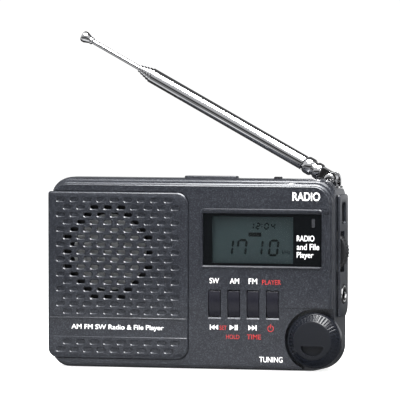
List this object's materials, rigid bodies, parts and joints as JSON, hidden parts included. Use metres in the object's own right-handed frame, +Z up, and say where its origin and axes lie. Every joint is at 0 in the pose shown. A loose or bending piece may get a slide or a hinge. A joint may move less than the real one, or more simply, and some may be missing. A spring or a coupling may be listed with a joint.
{
  "type": "pocket shortwave receiver",
  "caption": "Pocket shortwave receiver with a speaker grille, display, press keys, tuning knob and a telescopic antenna that folds and swivels.",
  "frame": {"origin": "middle of the bottom face that the receiver stands on", "axes": "+Z up, +X to the right seen from the front, +Y to the back, so the front face looks along -Y"},
  "size_m": [0.1289, 0.029, 0.1414],
  "materials": {
    "case_paint": "dark charcoal metallic paint with a fine speckle, satin",
    "grille_paint": "dark charcoal metallic paint with a fine speckle, satin",
    "key_gloss": "blue-black gloss",
    "knob_plastic": "blue-black, smooth face with glossy teeth",
    "black_plastic": "moulded black",
    "window": "clear plastic with a black printed surround",
    "lcd": "grey-green liquid crystal",
    "diffuser": "white diffuser",
    "board": "green solder mask",
    "chrome": "polished chrome plate",
    "steel": "plain nickel-plated steel",
    "cone": "silver-grey coated paper",
    "ferrite": "sintered dark grey",
    "copper": "enamelled copper winding",
    "cell": "printed metal sleeve"
  },
  "bodies": {
    "case": {"front_shell": "case_paint", "rear_shell": "case_paint", "grille_panel": "grille_paint", "display_window": "window", "lcd_module": "lcd", "lcd_backlight": "diffuser", "signal_led": "black_plastic", "key_switch_1": "black_plastic", "key_switch_2": "black_plastic", "key_switch_3": "black_plastic", "key_switch_4": "black_plastic", "tuning_encoder": "steel", "volume_pot": "steel", "side_panel": "case_paint", "headphone_ring": "chrome", "headphone_jack": "black_plastic", "usb_socket": "steel", "speaker_frame": "steel", "speaker_cone": "cone", "speaker_magnet": "ferrite", "key_board": "board", "main_board": "board", "top_board": "board", "tuner_can": "steel", "light_switch": "black_plastic", "lock_switch": "steel", "ferrite_rod": "ferrite", "antenna_coil": "copper", "battery_tray": "black_plastic", "battery_1": "cell", "battery_2": "cell", "contact_plate_left": "steel", "contact_plate_right": "steel", "case_screw_1": "steel", "case_screw_2": "steel", "case_screw_3": "steel", "case_screw_4": "steel"},
    "tuning": {"tuning_knob": "knob_plastic", "tuning_shaft": "steel"},
    "volume": {"volume_wheel": "black_plastic"},
    "key_sw": {"sw_key": "key_gloss"},
    "key_am": {"am_key": "key_gloss"},
    "key_fm": {"fm_key": "key_gloss"},
    "key_player": {"player_key": "key_gloss"},
    "light": {"light_bar": "case_paint"},
    "lock": {"lock_slider": "black_plastic"},
    "door": {"battery_door": "case_paint"},
    "stand": {"kickstand": "case_paint"},
    "swivel": {"swivel_base": "chrome", "swivel_nut": "steel", "pivot_screw": "chrome"},
    "mast_1": {"antenna_tongue": "chrome", "antenna_tube_1": "chrome"},
    "mast_2": {"antenna_tube_2": "chrome"},
    "mast_3": {"antenna_tube_3": "chrome"},
    "mast_4": {"antenna_tube_4": "chrome"},
    "mast_5": {"antenna_tube_5": "chrome"},
    "whip": {"antenna_rod": "chrome", "antenna_tip": "chrome"}
  },
  "joints": [
    {"name": "tuning_turn", "type": "hinge", "parent": "case", "child": "tuning", "pos_m": [0.0548, -0.0165, 0.0132], "axis": [0, 1, 0], "continuous": true},
    {"name": "volume_turn", "type": "hinge", "parent": "case", "child": "volume", "pos_m": [0.0557, -0.0004, 0.0498], "axis": [0, 1, 0], "range_deg": [-140, 140]},
    {"name": "sw_press", "type": "slide", "parent": "case", "child": "key_sw", "axis": [0, 1, 0], "range_m": [0, 0.0006], "stiffness_N_per_m": 1200},
    {"name": "am_press", "type": "slide", "parent": "case", "child": "key_am", "axis": [0, 1, 0], "range_m": [0, 0.0006], "stiffness_N_per_m": 1200},
    {"name": "fm_press", "type": "slide", "parent": "case", "child": "key_fm", "axis": [0, 1, 0], "range_m": [0, 0.0006], "stiffness_N_per_m": 1200},
    {"name": "player_press", "type": "slide", "parent": "case", "child": "key_player", "axis": [0, 1, 0], "range_m": [0, 0.0006], "stiffness_N_per_m": 1200},
    {"name": "light_press", "type": "slide", "parent": "case", "child": "light", "axis": [0, 0, -1], "range_m": [0, 0.0008], "stiffness_N_per_m": 1200},
    {"name": "lock_slide", "type": "slide", "parent": "case", "child": "lock", "axis": [1, 0, 0], "range_m": [0, 0.0036]},
    {"name": "door_open", "type": "hinge", "parent": "case", "child": "door", "pos_m": [0.0188, 0.012, 0.0042], "axis": [-1, 0, 0], "range_deg": [0, 90]},
    {"name": "stand_open", "type": "hinge", "parent": "case", "child": "stand", "pos_m": [-0.036, 0.0115, 0.0398], "axis": [1, 0, 0], "range_deg": [0, 45]},
    {"name": "antenna_swivel", "type": "hinge", "parent": "case", "child": "swivel", "pos_m": [0.0566, 0.007, 0.07985], "axis": [0, 0, 1], "range_deg": [-180, 180]},
    {"name": "antenna_raise", "type": "hinge", "parent": "swivel", "child": "mast_1", "pos_m": [0.0566, 0.007, 0.07985], "axis": [0, 1, 0], "range_deg": [-28.5, 61.5]},
    {"name": "mast_2_slide", "type": "slide", "parent": "mast_1", "child": "mast_2", "axis": [-0.8788, 0, 0.4772], "range_m": [0, 0.066]},
    {"name": "mast_3_slide", "type": "slide", "parent": "mast_2", "child": "mast_3", "axis": [-0.8788, 0, 0.4772], "range_m": [0, 0.066]},
    {"name": "mast_4_slide", "type": "slide", "parent": "mast_3", "child": "mast_4", "axis": [-0.8788, 0, 0.4772], "range_m": [0, 0.066]},
    {"name": "mast_5_slide", "type": "slide", "parent": "mast_4", "child": "mast_5", "axis": [-0.8788, 0, 0.4772], "range_m": [0, 0.066]},
    {"name": "whip_slide", "type": "slide", "parent": "mast_5", "child": "whip", "axis": [-0.8788, 0, 0.4772], "range_m": [-0.0222, 0.046]}
  ]
}
